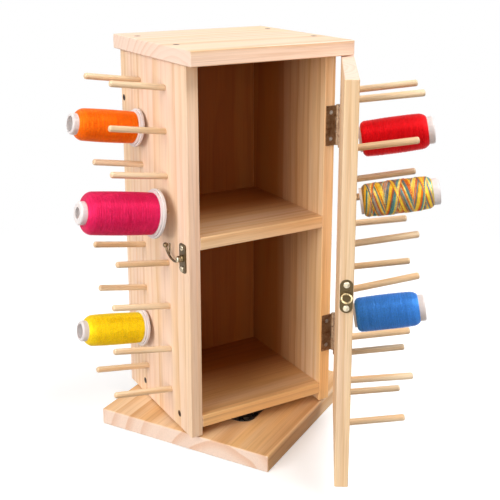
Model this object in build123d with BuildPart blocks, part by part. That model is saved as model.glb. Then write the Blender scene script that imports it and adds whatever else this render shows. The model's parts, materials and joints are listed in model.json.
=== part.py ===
"""A turning thread rack: a small pine cabinet with spool pegs, on a turntable.

The origin is on the floor at the turntable's axis, +Z up. The cabinet's front
faces -Y, its pegged side faces -X and its door hangs at the right front edge.
The base board is turned against the cabinet and the door stands open.
Lengths are in millimetres and angles in degrees.
"""

from build123d import *
from math import cos, radians, sin
import os

# Boards of the cabinet
cabinet_width = 160.0
cabinet_depth = 145.0
board_thickness = 12.0
side_height = 360.2
lower_compartment_height = 168.0
top_thickness = 14.0
top_side_overhang = 5.7
top_front_overhang = 21.0
top_back_overhang = 3.2
edge_ease = 0.6

# Base board, and how it stands to the cabinet
base_side = 191.0
base_thickness = 16.5
base_turn = 31.0
cabinet_set_back = 4.0
side_clearance = 1.7

# Turntable bearing between the base and the bottom board
turntable_height = 10.0
turntable_side = 102.0
turntable_corner_radius = 12.0
turntable_hole_inset = 6.5
turntable_centre_radius = 24.0
plate_thickness = 1.2
ball_radius = 2.2
ball_count = 18
ball_circle_radius = 36.0
ball_clearance = 0.05
track_width = 6.0
cage_thickness = 1.0
cage_width = 6.2
cage_clearance = 0.15
rim_gap = 0.4
rim_wall = 1.2
rim_lip = 1.0
rim_drop = 2.2

# Door
door_width = 159.5
door_thickness = 12.0
door_base_clearance = 1.5
door_top_clearance = 1.0
door_gap = 3.0
door_open = 55.0

# Pegs: glued dowels in blind holes, tilted up, their roots pressed a little thinner
peg_radius = 3.0
peg_length = 55.0
peg_depth = 8.0
peg_root_radius = 2.8
peg_shoulder = 1.0
peg_tilt = 9.0
peg_rounding = 1.8
peg_rows = 8
peg_top_inset = 26.1
peg_bottom_inset = 34.2
peg_column_gap = 59.0
side_column_gap = 54.8
side_peg_shift = 1.4

# Butt hinges
hinge_height = 39.0
hinge_top_inset = 69.5
hinge_bottom_inset = 75.0
hinge_cover = 10.5
leaf_thickness = 1.2
barrel_radius = 2.5
barrel_stand_off = 2.6
hinge_pin_radius = 1.2
hinge_pin_head_radius = 2.0
hinge_pin_head_height = 0.8
knuckle_gap = 0.3
pin_clearance = 0.05
knuckle_count = 3

# Hook latch on the left panel and the eye plate on the door's free edge
latch_plate_width = 12.5
latch_plate_height = 28.0
latch_plate_rounding = 3.5
catch_plate_width = 11.0
catch_plate_height = 29.0
brass_thickness = 1.2
latch_boss_radius = 3.2
latch_boss_height = 2.2
hook_wire_radius = 1.1
hook_gap = 0.3
hook_eye_radius = 3.0
rivet_radius = 1.2
rivet_head_radius = 2.5
rivet_head_height = 1.1
hook_reach = 28.0
hook_knob_radius = 2.6
hook_prong_radius = 1.0
hook_prong_tip_radius = 0.7
hook_prong_length = 12.0
hook_prong_reach = 20.0
hook_prong_lean = 9.5
hook_path_shares = ((0.0, 0.0), (0.16, -0.13), (0.4, -0.17), (0.73, -0.08), (1.0, 0.2))
hook_height = 198.0
eye_ring_radius = 4.2
eye_wire_radius = 0.8
eye_tilt = 40.0
eye_drop = 1.0
eye_bridge_width = 5.0
eye_bridge_height = 1.9
brass_screw_spacing = 20.6
brass_screw_head_radius = 2.7
brass_screw_head_height = 1.2
brass_screw_rounding = 0.7
rivet_root = 5.0

# Screws
wood_screw_head_radius = 3.2
wood_screw_head_height = 2.2
wood_screw_radius = 1.6
wood_screw_length = 24.0
plate_screw_head_radius = 2.9
plate_screw_head_height = 1.3
plate_screw_radius = 1.4
plate_screw_length = 9.5
hinge_screw_head_radius = 2.1
hinge_screw_head_height = 1.0
hinge_screw_radius = 1.0
hinge_screw_length = 9.0
hinge_screw_spacing = 26.0
recess_depth = 0.8
recess_width = 0.7
top_screw_inset = 30.0
back_screw_inset = 49.0
bottom_screw_spacing = 81.0

# Spools: small ones with a flange or with only a foot ring, and one large with a flange
small_spool_length = 68.0
small_flange_radius = 18.6
flanged_thread_radius = 15.4
ringed_thread_radius = 16.5
slim_thread_radius = 14.7
small_bore_radius = 7.5
small_stand_off = 4.5
large_spool_length = 77.0
large_flange_radius = 23.5
large_thread_radius = 19.8
large_bore_radius = 5.4
large_stand_off = 12.0
spool_wall = 2.2
flange_rim = 2.2
flange_step = 1.3
flange_collar = 1.8
flange_slope = 1.4
foot_ring_radius = 11.5
foot_ring_height = 2.4
foot_hollow = 1.2
foot_shoulder_length = 4.6
flange_hollow = 3.0
shoulder_length = 7.5
shoulder_step = 0.6
thread_crown = 0.5
small_neck_radius = 10.2
large_neck_radius = 10.8
ringed_neck_radius = 12.6
slim_neck_radius = 11.4
neck_length = 6.0
neck_rounding = 1.8
spool_play = 0.3

# How far hand work strays on each peg, as shares of the peg's length, tilt and row pitch
left_front_length_shares = (0.98, 1.02, 1.02, 1.0, 0.98, 1.08, 1.09, 1.1)
left_front_tilt_shares = (0.92, 0.94, 0.97, 1.0, 0.89, 1.05, 1.11, 0.91)
left_front_rise_shares = (0.0, 0.05, 0.05, 0.25, 0.06, 0.03, -0.02, -0.03)
left_back_length_shares = (1.03, 1.0, 0.94, 1.0, 0.99, 0.93, 1.0, 1.04)
left_back_tilt_shares = (0.95, 1.0, 1.05, 1.0, 1.04, 1.13, 1.0, 0.97)
left_back_rise_shares = (-0.01, 0.0, 0.05, 0.02, 0.12, 0.05, 0.13, 0.03)
door_hinge_length_shares = (1.02, 1.0, 1.06, 0.94, 1.03, 1.0, 1.0, 0.95)
door_hinge_tilt_shares = (0.81, 1.0, 1.04, 0.81, 0.87, 1.0, 0.92, 0.81)
door_hinge_rise_shares = (-0.01, 0.0, 0.04, 0.05, 0.05, -0.02, 0.0, 0.01)
door_free_length_shares = (1.03, 0.98, 1.0, 1.05, 1.1, 0.97, 1.05, 0.95)
door_free_tilt_shares = (0.73, 0.91, 1.0, 1.14, 1.58, 0.97, 0.74, 0.91)
door_free_rise_shares = (0.02, 0.05, 0.03, 0.05, 0.06, 0.0, 0.01, 0.02)
back_length_shares = (1.0, 0.98, 1.03, 0.96, 1.0, 1.04, 0.97, 1.01)
back_tilt_shares = (1.05, 0.92, 1.0, 1.1, 0.9, 1.02, 0.95, 1.06)
back_rise_shares = (0.01, -0.01, 0.0, 0.02, 0.0, -0.02, 0.01, 0.0)

# Heights and faces worked out from the sizes above
bottom_board_bottom = base_thickness + turntable_height
bottom_board_top = bottom_board_bottom + board_thickness
shelf_bottom = bottom_board_top + lower_compartment_height
side_bottom = base_thickness + side_clearance
side_top = side_bottom + side_height
peg_row_pitch = (side_height - peg_top_inset - peg_bottom_inset) / (peg_rows - 1)
half_width = cabinet_width / 2
front_y = cabinet_set_back - cabinet_depth / 2
back_y = cabinet_set_back + cabinet_depth / 2
inner_width = cabinet_width - 2 * board_thickness
inner_depth = cabinet_depth - board_thickness
inner_y = front_y + inner_depth / 2
door_inner_y = front_y - door_gap
door_outer_y = door_inner_y - door_thickness
door_mid_y = door_inner_y - door_thickness / 2
door_bottom = base_thickness + door_base_clearance
door_height = side_top - door_top_clearance - door_bottom
door_free_x = half_width - door_width
door_centre_x = half_width - door_width / 2
hinge_axis = Axis((half_width + barrel_stand_off, front_y - door_gap / 2, 0), (0, 0, 1))
spin_axis = Axis.Z
low_middle = (Align.CENTER, Align.CENTER, Align.MIN)
high_middle = (Align.CENTER, Align.CENTER, Align.MAX)

# Outer faces: x runs across the face, y up, z out of it
left_face = Plane(origin=(-half_width, cabinet_set_back, 0), x_dir=(0, -1, 0), z_dir=(-1, 0, 0))
right_face = Plane(origin=(half_width, cabinet_set_back, 0), x_dir=(0, 1, 0), z_dir=(1, 0, 0))
back_face = Plane(origin=(0, back_y, 0), x_dir=(-1, 0, 0), z_dir=(0, 1, 0))
front_face = Plane(origin=(0, front_y, 0), x_dir=(1, 0, 0), z_dir=(0, -1, 0))
door_face = Plane(origin=(door_centre_x, door_outer_y, 0), x_dir=(1, 0, 0), z_dir=(0, -1, 0))
door_inside = Plane(origin=(door_centre_x, door_inner_y, 0), x_dir=(-1, 0, 0), z_dir=(0, 1, 0))
door_edge = Plane(origin=(door_free_x, door_mid_y, 0), x_dir=(0, -1, 0), z_dir=(-1, 0, 0))


def save(part, label):
    """Name a finished piece and write it as a STEP file of that name."""
    part.label = label
    export_step(part, f"parts/{label}.step")


def turned_base(part):
    """Turn a piece of the base from square with the cabinet to where it stands."""
    return part.rotate(spin_axis, base_turn)


def swung_door(part):
    """Swing a piece of the door from closed to where the door stands."""
    return part.rotate(hinge_axis, door_open)


def place_on(face, across, height):
    """A plane on an outer face, at a place across it and a height."""
    foot = face.from_local_coords((across, height, 0))
    return Plane(origin=foot, x_dir=face.x_dir, z_dir=face.z_dir)


def peg_place(face, across, row, tilt_share, rise_share):
    """A plane at a peg's root on an outer face, its z axis along the tilted peg."""
    height = side_top - peg_top_inset - (row - rise_share) * peg_row_pitch
    foot = face.from_local_coords((across, height, 0))
    tilt = radians(peg_tilt * tilt_share)
    along = face.z_dir * cos(tilt) + face.y_dir * sin(tilt)
    return Plane(origin=foot, x_dir=face.x_dir, z_dir=along)


def peg_column(face, across, length_shares, tilt_shares, rise_shares):
    """One column of dowels, each with its root in the board and a rounded tip."""
    with BuildPart() as column:
        for row in range(peg_rows):
            place = peg_place(face, across, row, tilt_shares[row], rise_shares[row])
            length = peg_length * length_shares[row]
            with Locations(place.offset(-peg_depth)):
                Cylinder(peg_root_radius, peg_depth + peg_shoulder, align=low_middle)
            with Locations(place.offset(peg_shoulder)):
                Cylinder(peg_radius, length - peg_shoulder, align=low_middle)
            along = Axis(place.origin, place.z_dir)
            tip = column.edges(Select.LAST).filter_by(GeomType.CIRCLE).sort_by(along)[-1]
            fillet(tip, peg_rounding)
    return column.part


def screws(places, head_radius, head_height, radius, length, recess=True):
    """Countersunk screws, their heads flush with the planes that they stand on."""
    with BuildPart() as group:
        with Locations(*places):
            Cone(radius, head_radius, head_height, align=high_middle)
            Cylinder(radius, length, align=high_middle)
            if recess:
                Box(head_radius, recess_width, recess_depth, align=high_middle, mode=Mode.SUBTRACT)
                Box(recess_width, head_radius, recess_depth, align=high_middle, mode=Mode.SUBTRACT)
    return group.part


def wood_screws(places, recess=True):
    """The dark screws that hold the boards together."""
    return screws(places, wood_screw_head_radius, wood_screw_head_height,
                  wood_screw_radius, wood_screw_length, recess)


def plate_screws(places, recess=True):
    """The screws of the turntable's plates."""
    return screws(places, plate_screw_head_radius, plate_screw_head_height,
                  plate_screw_radius, plate_screw_length, recess)


def hinge_screws(places, recess=True):
    """The bright screws of the hinges."""
    return screws(places, hinge_screw_head_radius, hinge_screw_head_height,
                  hinge_screw_radius, hinge_screw_length, recess)


def board(size_x, size_y, size_z, centre_x, centre_y, bottom, cutters=()):
    """A board with eased edges, bored for the pegs and screws that go into it."""
    with BuildPart() as plank:
        with Locations((centre_x, centre_y, bottom)):
            Box(size_x, size_y, size_z, align=low_middle)
        chamfer(plank.edges(), edge_ease)
        for cutter in cutters:
            add(cutter, mode=Mode.SUBTRACT)
    return plank.part


os.makedirs("parts", exist_ok=True)

# Pegs
left_front_across = side_peg_shift + side_column_gap / 2
left_back_across = side_peg_shift - side_column_gap / 2
column_across = peg_column_gap / 2

left_front_pegs = peg_column(left_face, left_front_across, left_front_length_shares,
                             left_front_tilt_shares, left_front_rise_shares)
left_back_pegs = peg_column(left_face, left_back_across, left_back_length_shares,
                            left_back_tilt_shares, left_back_rise_shares)
back_left_pegs = peg_column(back_face, column_across, back_length_shares,
                            back_tilt_shares, back_rise_shares)
back_right_pegs = peg_column(back_face, -column_across, back_length_shares,
                             back_tilt_shares, back_rise_shares)
door_hinge_side_pegs = peg_column(door_face, column_across, door_hinge_length_shares,
                                  door_hinge_tilt_shares, door_hinge_rise_shares)
door_free_side_pegs = peg_column(door_face, -column_across, door_free_length_shares,
                                 door_free_tilt_shares, door_free_rise_shares)
save(left_front_pegs, "left_front_pegs")
save(left_back_pegs, "left_back_pegs")
save(back_left_pegs, "back_left_pegs")
save(back_right_pegs, "back_right_pegs")
save(swung_door(door_hinge_side_pegs), "door_hinge_side_pegs")
save(swung_door(door_free_side_pegs), "door_free_side_pegs")


# Screws, and the plain blanks that bore the wood for them
top_face = Plane(origin=(0, cabinet_set_back, side_top + top_thickness))
top_screw_x = half_width - board_thickness / 2
top_screw_y = cabinet_depth / 2 - top_screw_inset
top_screw_places = [place_on(top_face, x, y)
                    for x in (-top_screw_x, top_screw_x) for y in (-top_screw_y, top_screw_y)]


def side_screw_places(face, backward):
    """Two screws into the back panel's edge and two into the bottom board's end."""
    back_across = backward * (cabinet_depth - board_thickness) / 2
    middle = backward * (inner_y - cabinet_set_back)
    heights = (side_bottom + back_screw_inset, side_top - back_screw_inset)
    places = [place_on(face, back_across, height) for height in heights]
    for step in (-bottom_screw_spacing / 2, bottom_screw_spacing / 2):
        places.append(place_on(face, middle + step, bottom_board_bottom + board_thickness / 2))
    return places


left_screw_places = side_screw_places(left_face, -1)
right_screw_places = side_screw_places(right_face, 1)
turntable_screw_reach = turntable_side / 2 - turntable_hole_inset
corners = [(x, y) for x in (-turntable_screw_reach, turntable_screw_reach)
           for y in (-turntable_screw_reach, turntable_screw_reach)]
lower_plate_face = Plane.XY.offset(base_thickness + plate_thickness)
upper_plate_face = Plane(origin=(0, 0, bottom_board_bottom - plate_thickness),
                         x_dir=(1, 0, 0), z_dir=(0, 0, -1))
lower_screw_places = [place_on(lower_plate_face, x, y) for x, y in corners]
upper_screw_places = [place_on(upper_plate_face, x, y) for x, y in corners]

hinge_heights = {"lower": side_bottom + hinge_bottom_inset, "upper": side_top - hinge_top_inset}
leaf_middle_x = half_width - hinge_cover / 2
frame_leaf_face = front_face.offset(leaf_thickness)
door_leaf_face = door_inside.offset(leaf_thickness)


def hinge_screw_places(face, across, height):
    """The two screws of one hinge leaf."""
    steps = (-hinge_screw_spacing / 2, hinge_screw_spacing / 2)
    return [place_on(face, across, height + step) for step in steps]


frame_hinge_places = {name: hinge_screw_places(frame_leaf_face, leaf_middle_x, height)
                      for name, height in hinge_heights.items()}
door_hinge_places = {name: hinge_screw_places(door_leaf_face, door_centre_x - leaf_middle_x, height)
                     for name, height in hinge_heights.items()}

save(wood_screws(top_screw_places), "top_board_screws")
save(wood_screws(left_screw_places), "left_side_screws")
save(wood_screws(right_screw_places), "right_side_screws")
save(turned_base(plate_screws(lower_screw_places)), "turntable_lower_screws")
save(plate_screws(upper_screw_places), "turntable_upper_screws")
for name in hinge_heights:
    save(hinge_screws(frame_hinge_places[name]), f"{name}_hinge_frame_screws")
    save(swung_door(hinge_screws(door_hinge_places[name])), f"{name}_hinge_door_screws")

# Brass latch and catch
pivot_y = door_mid_y + hook_prong_reach
pivot_across = cabinet_set_back - pivot_y
hook_middle = brass_thickness + latch_boss_height + hook_gap + hook_wire_radius
hook_x = -(half_width + hook_middle)
latch_place = place_on(left_face, pivot_across, hook_height)
latch_front = latch_place.offset(brass_thickness)
catch_place = place_on(door_edge, 0, hook_height - eye_drop)
catch_front = catch_place.offset(brass_thickness)
brass_steps = (-brass_screw_spacing / 2, brass_screw_spacing / 2)
latch_screw_places = [place_on(latch_front, 0, step) for step in brass_steps]
catch_screw_places = [place_on(catch_front, 0, step) for step in brass_steps]


def brass_screws(places, recess=True):
    """Round-headed screws that stand on a brass plate."""
    with BuildPart() as group:
        with Locations(*places):
            Cylinder(brass_screw_head_radius, brass_screw_head_height, align=low_middle)
        rims = group.edges().filter_by(GeomType.CIRCLE).group_by(Axis(places[0].origin, places[0].z_dir))
        fillet(rims[-1], brass_screw_rounding)
        with Locations(*places):
            Cylinder(hinge_screw_radius, hinge_screw_length, align=high_middle)
            if recess:
                with Locations((0, 0, brass_screw_head_height)):
                    Box(brass_screw_head_radius * 2, recess_width, recess_depth,
                        align=high_middle, mode=Mode.SUBTRACT)
    return group.part


latch_rivet_top = hook_middle + hook_wire_radius + hook_gap
with BuildPart() as latch_rivet:
    with Locations(latch_place.offset(-rivet_root)):
        Cylinder(rivet_radius, rivet_root + latch_rivet_top, align=low_middle)
    with Locations(latch_place.offset(latch_rivet_top)):
        Cylinder(rivet_head_radius, rivet_head_height, align=low_middle)
    rivet_axis = Axis(latch_place.origin, latch_place.z_dir)
    fillet(latch_rivet.edges().sort_by(rivet_axis)[-1], brass_screw_rounding)

with BuildPart() as latch_plate:
    with BuildSketch(latch_place):
        RectangleRounded(latch_plate_width, latch_plate_height, latch_plate_rounding)
    extrude(amount=brass_thickness)
    with Locations(latch_front):
        Cylinder(latch_boss_radius, latch_boss_height, align=low_middle)
    add(latch_rivet.part, mode=Mode.SUBTRACT)
    add(brass_screws(latch_screw_places, recess=False), mode=Mode.SUBTRACT)

# The hook turns in the plane of its wire, which stands off the panel: x runs back, y up
hook_plane = Plane(origin=(hook_x, pivot_y, hook_height), x_dir=(0, 1, 0), z_dir=(1, 0, 0))
hook_points = [(hook_reach * back, hook_reach * up) for back, up in hook_path_shares]
lean = radians(hook_prong_lean)
prong_root = hook_plane.from_local_coords(hook_points[-2] + (0,))
prong_up = hook_plane.y_dir * cos(lean) - hook_plane.x_dir * sin(lean)
prong_place = Plane(origin=prong_root, x_dir=hook_plane.z_dir, z_dir=prong_up)
knob_centre = hook_plane.from_local_coords(hook_points[-1] + (0,))

with BuildPart() as latch_hook:
    with BuildLine(hook_plane) as hook_path:
        Spline(*hook_points)
    with BuildSketch(Plane(origin=hook_path.line @ 0, z_dir=hook_path.line % 0)):
        Circle(hook_wire_radius)
    sweep(path=hook_path.line)
    with Locations(hook_plane):
        Cylinder(hook_eye_radius, 2 * hook_wire_radius)
    with Locations(knob_centre):
        Sphere(hook_knob_radius)
    with Locations(prong_place):
        Cone(hook_prong_radius, hook_prong_tip_radius, hook_prong_length, align=low_middle)
    with Locations(hook_plane):
        Hole(rivet_radius + pin_clearance, depth=2 * hook_eye_radius)

# The eye ring leans out and down from the catch plate so that the prong drops into it
eye_lean = radians(eye_tilt)
eye_centre = catch_place.from_local_coords((0, 0, door_free_x - hook_x))
eye_normal = catch_place.y_dir * cos(eye_lean) + catch_place.z_dir * sin(eye_lean)
eye_place = Plane(origin=eye_centre, x_dir=catch_place.x_dir, z_dir=eye_normal)
bridge_out = door_free_x - hook_x - eye_ring_radius * cos(eye_lean) + eye_wire_radius
bridge_place = place_on(catch_place, 0, eye_ring_radius * sin(eye_lean))

with BuildPart() as catch_plate:
    with BuildSketch(catch_place):
        SlotOverall(catch_plate_height, catch_plate_width, rotation=90)
    extrude(amount=brass_thickness)
    with Locations(bridge_place):
        Box(eye_bridge_width, eye_bridge_height, bridge_out, align=low_middle)
    with Locations(eye_place):
        Torus(eye_ring_radius, eye_wire_radius)
    add(brass_screws(catch_screw_places, recess=False), mode=Mode.SUBTRACT)

save(latch_rivet.part, "latch_rivet")
save(latch_plate.part, "latch_plate")
save(latch_hook.part, "latch_hook")
save(brass_screws(latch_screw_places), "latch_plate_screws")
save(swung_door(catch_plate.part), "catch_plate")
save(swung_door(brass_screws(catch_screw_places)), "catch_plate_screws")

# Hinges: knuckles share one barrel, the frame leaf holds the outer ones
knuckle_height = hinge_height / knuckle_count


def hinge_leaf(height, leaf_plane, across, outer, bore_radius):
    """One leaf of a hinge with its knuckles, the outer ones or the middle one."""
    hinge_x, hinge_y = hinge_axis.position.X, hinge_axis.position.Y
    bottom = height - hinge_height / 2
    with BuildPart() as leaf:
        with BuildSketch(place_on(leaf_plane, across, height)):
            Rectangle(hinge_cover + barrel_stand_off, hinge_height)
        extrude(amount=leaf_thickness)
        for knuckle in range(knuckle_count):
            own = (knuckle % 2 == 0) == outer
            foot = (hinge_x, hinge_y, bottom + knuckle * knuckle_height)
            if own:
                with Locations(foot):
                    Cylinder(barrel_radius, knuckle_height, align=low_middle)
        for knuckle in range(knuckle_count):
            own = (knuckle % 2 == 0) == outer
            foot = (hinge_x, hinge_y, bottom + knuckle * knuckle_height - knuckle_gap)
            if not own:
                with Locations(foot):
                    Cylinder(barrel_radius + knuckle_gap, knuckle_height + 2 * knuckle_gap,
                             align=low_middle, mode=Mode.SUBTRACT)
        with Locations((hinge_x, hinge_y, bottom)):
            Cylinder(bore_radius, hinge_height, align=low_middle, mode=Mode.SUBTRACT)
    return leaf.part


def hinge_pin(height):
    """The pin of one hinge, with a small head on top."""
    top = height + hinge_height / 2
    with BuildPart() as pin:
        with Locations((hinge_axis.position.X, hinge_axis.position.Y, top)):
            Cylinder(hinge_pin_radius, hinge_height, align=high_middle)
            Cylinder(hinge_pin_head_radius, hinge_pin_head_height, align=low_middle)
    return pin.part


leaf_across = leaf_middle_x + barrel_stand_off / 2
for name, height in hinge_heights.items():
    with BuildPart() as frame_leaf:
        add(hinge_leaf(height, front_face, leaf_across, True, hinge_pin_radius))
        add(hinge_screws(frame_hinge_places[name], recess=False), mode=Mode.SUBTRACT)
    with BuildPart() as door_leaf:
        add(hinge_leaf(height, door_inside, door_centre_x - leaf_across, False,
                       hinge_pin_radius + pin_clearance))
        add(hinge_screws(door_hinge_places[name], recess=False), mode=Mode.SUBTRACT)
    save(frame_leaf.part, f"{name}_hinge_frame_leaf")
    save(swung_door(door_leaf.part), f"{name}_hinge_door_leaf")
    save(hinge_pin(height), f"{name}_hinge_pin")

# Turntable: two pressed plates whose rolled rims hold each other round a ring of balls
track_height = (turntable_height - 2 * plate_thickness - 2 * ball_radius) / 2 - ball_clearance
track_inner = ball_circle_radius - track_width / 2
track_outer = ball_circle_radius + track_width / 2
inner_wall = track_outer + rim_gap
inner_wall_out = inner_wall + rim_wall
outer_lip = inner_wall_out + rim_gap
outer_wall = inner_wall_out + rim_lip + rim_gap
outer_wall_out = outer_wall + rim_wall
rim_height = turntable_height - 2 * plate_thickness - rim_drop


def turntable_plate(face, wall, wall_out, lip_in, lip_out):
    """One plate with its ball track and its rolled rim, standing out of a plane."""
    with BuildPart() as plate:
        with BuildSketch(face):
            RectangleRounded(turntable_side, turntable_side, turntable_corner_radius)
            Circle(turntable_centre_radius, mode=Mode.SUBTRACT)
        extrude(amount=plate_thickness)
        inside = face.offset(plate_thickness)
        with BuildSketch(inside):
            Circle(track_outer)
            Circle(track_inner, mode=Mode.SUBTRACT)
        extrude(amount=track_height)
        with BuildSketch(inside):
            Circle(wall_out)
            Circle(wall, mode=Mode.SUBTRACT)
        extrude(amount=rim_height)
        with BuildSketch(inside.offset(rim_height - rim_lip)):
            Circle(lip_out)
            Circle(lip_in, mode=Mode.SUBTRACT)
        extrude(amount=rim_lip)
    return plate.part


with BuildPart() as lower_plate:
    add(turntable_plate(Plane.XY.offset(base_thickness), outer_wall, outer_wall_out,
                        outer_lip, outer_wall_out))
    add(plate_screws(lower_screw_places, recess=False), mode=Mode.SUBTRACT)
with BuildPart() as upper_plate:
    add(turntable_plate(Plane(origin=(0, 0, bottom_board_bottom), x_dir=(1, 0, 0), z_dir=(0, 0, -1)),
                        inner_wall, inner_wall_out, inner_wall, inner_wall_out + rim_lip))
    add(plate_screws(upper_screw_places, recess=False), mode=Mode.SUBTRACT)

ball_height = base_thickness + turntable_height / 2
with BuildPart(Plane.XY.offset(ball_height)) as turntable_balls:
    with PolarLocations(ball_circle_radius, ball_count):
        Sphere(ball_radius)
with BuildPart(Plane.XY.offset(ball_height)) as ball_cage:
    Cylinder(ball_circle_radius + cage_width / 2, cage_thickness)
    Cylinder(ball_circle_radius - cage_width / 2, cage_thickness, mode=Mode.SUBTRACT)
    with PolarLocations(ball_circle_radius, ball_count):
        Cylinder(ball_radius + cage_clearance, cage_thickness, mode=Mode.SUBTRACT)

save(turned_base(lower_plate.part), "turntable_lower_plate")
save(upper_plate.part, "turntable_upper_plate")
save(turntable_balls.part, "turntable_balls")
save(ball_cage.part, "turntable_ball_cage")

# Boards, bored by what goes into them
save(turned_base(board(base_side, base_side, base_thickness, 0, 0, 0,
                       [plate_screws(lower_screw_places, recess=False)])), "base_board")
save(board(inner_width, inner_depth, board_thickness, 0, inner_y, bottom_board_bottom,
           [wood_screws(left_screw_places, recess=False), wood_screws(right_screw_places, recess=False),
            plate_screws(upper_screw_places, recess=False)]), "bottom_board")
save(board(inner_width, inner_depth, board_thickness, 0, inner_y, shelf_bottom), "shelf")
save(board(board_thickness, cabinet_depth, side_height, -top_screw_x, cabinet_set_back, side_bottom,
           [left_front_pegs, left_back_pegs, wood_screws(left_screw_places, recess=False),
            wood_screws(top_screw_places, recess=False), latch_rivet.part,
            brass_screws(latch_screw_places, recess=False)]), "left_panel")
save(board(board_thickness, cabinet_depth, side_height, top_screw_x, cabinet_set_back, side_bottom,
           [wood_screws(right_screw_places, recess=False), wood_screws(top_screw_places, recess=False)]
           + [hinge_screws(places, recess=False) for places in frame_hinge_places.values()]),
     "right_panel")
save(board(inner_width, board_thickness, side_height, 0, back_y - board_thickness / 2, side_bottom,
           [back_left_pegs, back_right_pegs, wood_screws(left_screw_places, recess=False),
            wood_screws(right_screw_places, recess=False)]), "back_panel")
top_depth = cabinet_depth + top_front_overhang + top_back_overhang
top_y = cabinet_set_back + (top_back_overhang - top_front_overhang) / 2
save(board(cabinet_width + 2 * top_side_overhang, top_depth, top_thickness, 0, top_y, side_top,
           [wood_screws(top_screw_places, recess=False)]), "top_board")
save(swung_door(board(door_width, door_thickness, door_height, door_centre_x, door_mid_y, door_bottom,
                      [door_hinge_side_pegs, door_free_side_pegs,
                       brass_screws(catch_screw_places, recess=False)]
                      + [hinge_screws(places, recess=False) for places in door_hinge_places.values()])),
     "door_panel")

# Spools: a plastic core and its wound thread, hung on a peg by the top of the bore


def spool_place(face, across, row, rise_share, bore_radius, stand_off):
    """The plane at a spool's foot: the bore rests on the peg and hangs a little below it."""
    root = peg_place(face, across, row, 1, rise_share)
    drop = bore_radius - peg_radius - spool_play
    foot = root.from_local_coords((0, -drop, stand_off))
    return Plane(origin=foot, x_dir=root.x_dir, z_dir=root.z_dir)


def spool_core(length, foot_points, bore_radius, neck_radius):
    """A core round one bore: the foot from its outline's points, then a tube and a neck."""
    tube_radius = bore_radius + spool_wall
    neck_start = length - neck_length
    with BuildPart() as core:
        with BuildSketch(Plane.XZ):
            with BuildLine():
                Polyline(*foot_points, (tube_radius, neck_start), (neck_radius, neck_start),
                         (neck_radius, length), (bore_radius, length), close=True)
            make_face()
        revolve(axis=Axis.Z)
        lip = core.edges().filter_by(GeomType.CIRCLE).group_by(Axis.Z)[-1].sort_by(SortBy.RADIUS)[-1]
        fillet(lip, neck_rounding)
    return core.part


def spool_thread(length, foot_points, bore_radius, neck_radius, thread_radius, round_foot):
    """The thread on a core: from its foot's points to the round shoulder, a little crowned."""
    tube_radius = bore_radius + spool_wall
    neck_start = length - neck_length
    foot = foot_points[-1][1]
    shoulder = neck_start - shoulder_length
    with BuildPart() as thread:
        with BuildSketch(Plane.XZ):
            with BuildLine():
                Polyline((neck_radius + shoulder_step, neck_start), (tube_radius, neck_start),
                         *foot_points[:-1])
                if round_foot:
                    TangentArc(*foot_points[-2:], tangent=(0, -1), tangent_from_first=False)
                else:
                    Line(*foot_points[-2:])
                ThreePointArc((thread_radius, foot),
                              (thread_radius + thread_crown, (foot + shoulder) / 2),
                              (thread_radius, shoulder))
                TangentArc((thread_radius, shoulder), (neck_radius + shoulder_step, neck_start),
                           tangent=(0, 1))
            make_face()
        revolve(axis=Axis.Z)
    return thread.part


def flanged_spool(length, flange_radius, bore_radius, neck_radius, thread_radius):
    """Core and thread of a spool whose foot is a hollow stepped flange, standing upright."""
    tube_radius = bore_radius + spool_wall
    collar_radius = flange_radius - flange_step
    collar_top = flange_rim + flange_collar
    slope_top = collar_top + flange_slope
    slope_share = (collar_radius - thread_radius) / (collar_radius - tube_radius)
    core_foot = ((bore_radius, flange_hollow), (flange_radius - flange_rim, 0), (flange_radius, 0),
                 (flange_radius, flange_rim), (collar_radius, flange_rim), (collar_radius, collar_top),
                 (tube_radius, slope_top))
    thread_foot = ((tube_radius, slope_top), (thread_radius, collar_top + flange_slope * slope_share))
    return (spool_core(length, core_foot, bore_radius, neck_radius),
            spool_thread(length, thread_foot, bore_radius, neck_radius, thread_radius, False))


def ringed_spool(neck_radius, thread_radius):
    """Core and thread of a small spool whose thread stands over a narrow foot ring."""
    bore_radius, length = small_bore_radius, small_spool_length
    tube_radius = bore_radius + spool_wall
    core_foot = ((bore_radius, foot_hollow), (foot_ring_radius - foot_hollow, 0), (foot_ring_radius, 0),
                 (foot_ring_radius, foot_ring_height), (tube_radius, foot_ring_height))
    thread_foot = ((tube_radius, foot_ring_height), (foot_ring_radius + shoulder_step, foot_ring_height),
                   (thread_radius, foot_ring_height + foot_shoulder_length))
    return (spool_core(length, core_foot, bore_radius, neck_radius),
            spool_thread(length, thread_foot, bore_radius, neck_radius, thread_radius, True))


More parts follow.
